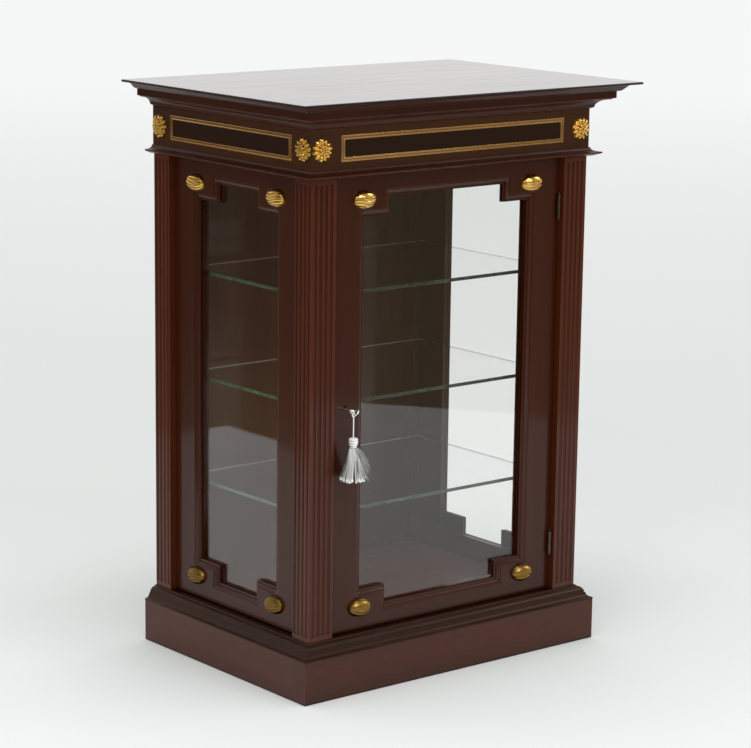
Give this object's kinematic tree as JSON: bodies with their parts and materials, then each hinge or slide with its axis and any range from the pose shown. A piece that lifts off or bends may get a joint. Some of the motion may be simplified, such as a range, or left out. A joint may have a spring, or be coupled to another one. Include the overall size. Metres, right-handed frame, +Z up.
{
  "type": "display cabinet",
  "caption": "Glazed display cabinet on a plinth: fluted corner columns, hinged glass door with lock, key and tassel, glass shelves, moulded top.",
  "frame": {"origin": "on the floor under the middle of the bounding box", "axes": "+X to the viewer's right when facing the door, -Y to the front, +Z up"},
  "size_m": [0.662, 0.46, 0.9],
  "materials": {
    "mahogany": "polished",
    "mahogany_moulding": "polished",
    "secondary_wood": "satin",
    "gilt_brass": "polished",
    "brass": "satin",
    "dark_brass": "aged",
    "nickel": "polished",
    "steel": "satin",
    "clear_glass": "clear",
    "thread": "silky"
  },
  "bodies": {
    "carcase": {"plinth_front": "mahogany", "plinth_left": "mahogany", "plinth_right": "mahogany", "plinth_back": "secondary_wood", "plinth_glue_blocks": "secondary_wood", "base_board": "mahogany", "base_moulding": "mahogany_moulding", "front_left_column": "mahogany", "front_right_column": "mahogany", "rear_left_column": "mahogany", "rear_right_column": "mahogany", "left_front_stile": "mahogany", "left_rear_stile": "mahogany", "left_top_rail": "mahogany", "left_bottom_rail": "mahogany", "left_glass": "clear_glass", "right_front_stile": "mahogany", "right_rear_stile": "mahogany", "right_top_rail": "mahogany", "right_bottom_rail": "mahogany", "right_glass": "clear_glass", "side_corner_blocks": "mahogany_moulding", "side_glazing_beads": "secondary_wood", "side_bosses": "gilt_brass", "back_panel": "mahogany", "back_panel_screws": "steel", "carcase_top": "mahogany", "string_moulding": "mahogany_moulding", "frieze_front": "mahogany", "frieze_left": "mahogany", "frieze_right": "mahogany", "frieze_rear_rail": "secondary_wood", "frieze_inlay": "brass", "frieze_rosettes": "gilt_brass", "cornice_moulding": "mahogany_moulding", "top_board": "mahogany", "shelf_pins": "brass", "hinge_frame_leaves": "dark_brass", "hinge_pins": "dark_brass", "hinge_frame_screws": "steel", "strike_plate": "brass"},
    "door": {"door_lock_stile": "mahogany", "door_hinge_stile": "mahogany", "door_top_rail": "mahogany", "door_bottom_rail": "mahogany", "door_corner_blocks": "mahogany_moulding", "door_glass": "clear_glass", "door_glazing_beads": "secondary_wood", "door_bosses": "gilt_brass", "hinge_door_leaves": "dark_brass", "hinge_door_screws": "steel", "lock_case": "brass"},
    "lock_bolt": {"lock_bolt": "brass"},
    "key": {"key": "nickel"},
    "tassel": {"tassel_loop": "thread", "tassel_cord": "thread", "tassel": "thread"},
    "upper_shelf": {"upper_shelf": "clear_glass"},
    "middle_shelf": {"middle_shelf": "clear_glass"},
    "lower_shelf": {"lower_shelf": "clear_glass"}
  },
  "joints": [
    {"name": "door_hinge", "type": "hinge", "parent": "carcase", "child": "door", "pos_m": [0.2212, -0.163, 0.436], "axis": [0, 0, 1], "range_deg": [0, 110]},
    {"name": "key_turn", "type": "hinge", "parent": "door", "child": "key", "pos_m": [-0.199, -0.159, 0.436], "axis": [0, -1, 0], "range_deg": [0, 90]},
    {"name": "bolt_slide", "type": "slide", "parent": "door", "child": "lock_bolt", "axis": [-1, 0, 0], "range_m": [0, 0.0085]},
    {"name": "tassel_hang", "type": "hinge", "parent": "key", "child": "tassel", "pos_m": [-0.20232, -0.187, 0.43268], "axis": [0, -1, 0], "range_deg": [-90, 0]},
    {"name": "lower_shelf_lift", "type": "slide", "parent": "carcase", "child": "lower_shelf", "axis": [0, 0, 1], "range_m": [0, 0.02]},
    {"name": "middle_shelf_lift", "type": "slide", "parent": "carcase", "child": "middle_shelf", "axis": [0, 0, 1], "range_m": [0, 0.02]},
    {"name": "upper_shelf_lift", "type": "slide", "parent": "carcase", "child": "upper_shelf", "axis": [0, 0, 1], "range_m": [0, 0.02]}
  ],
  "couplings": [
    {"joint": "key_turn", "follows": "bolt_slide", "rad_per_m": 184.8},
    {"joint": "tassel_hang", "follows": "bolt_slide", "rad_per_m": -184.8}
  ]
}
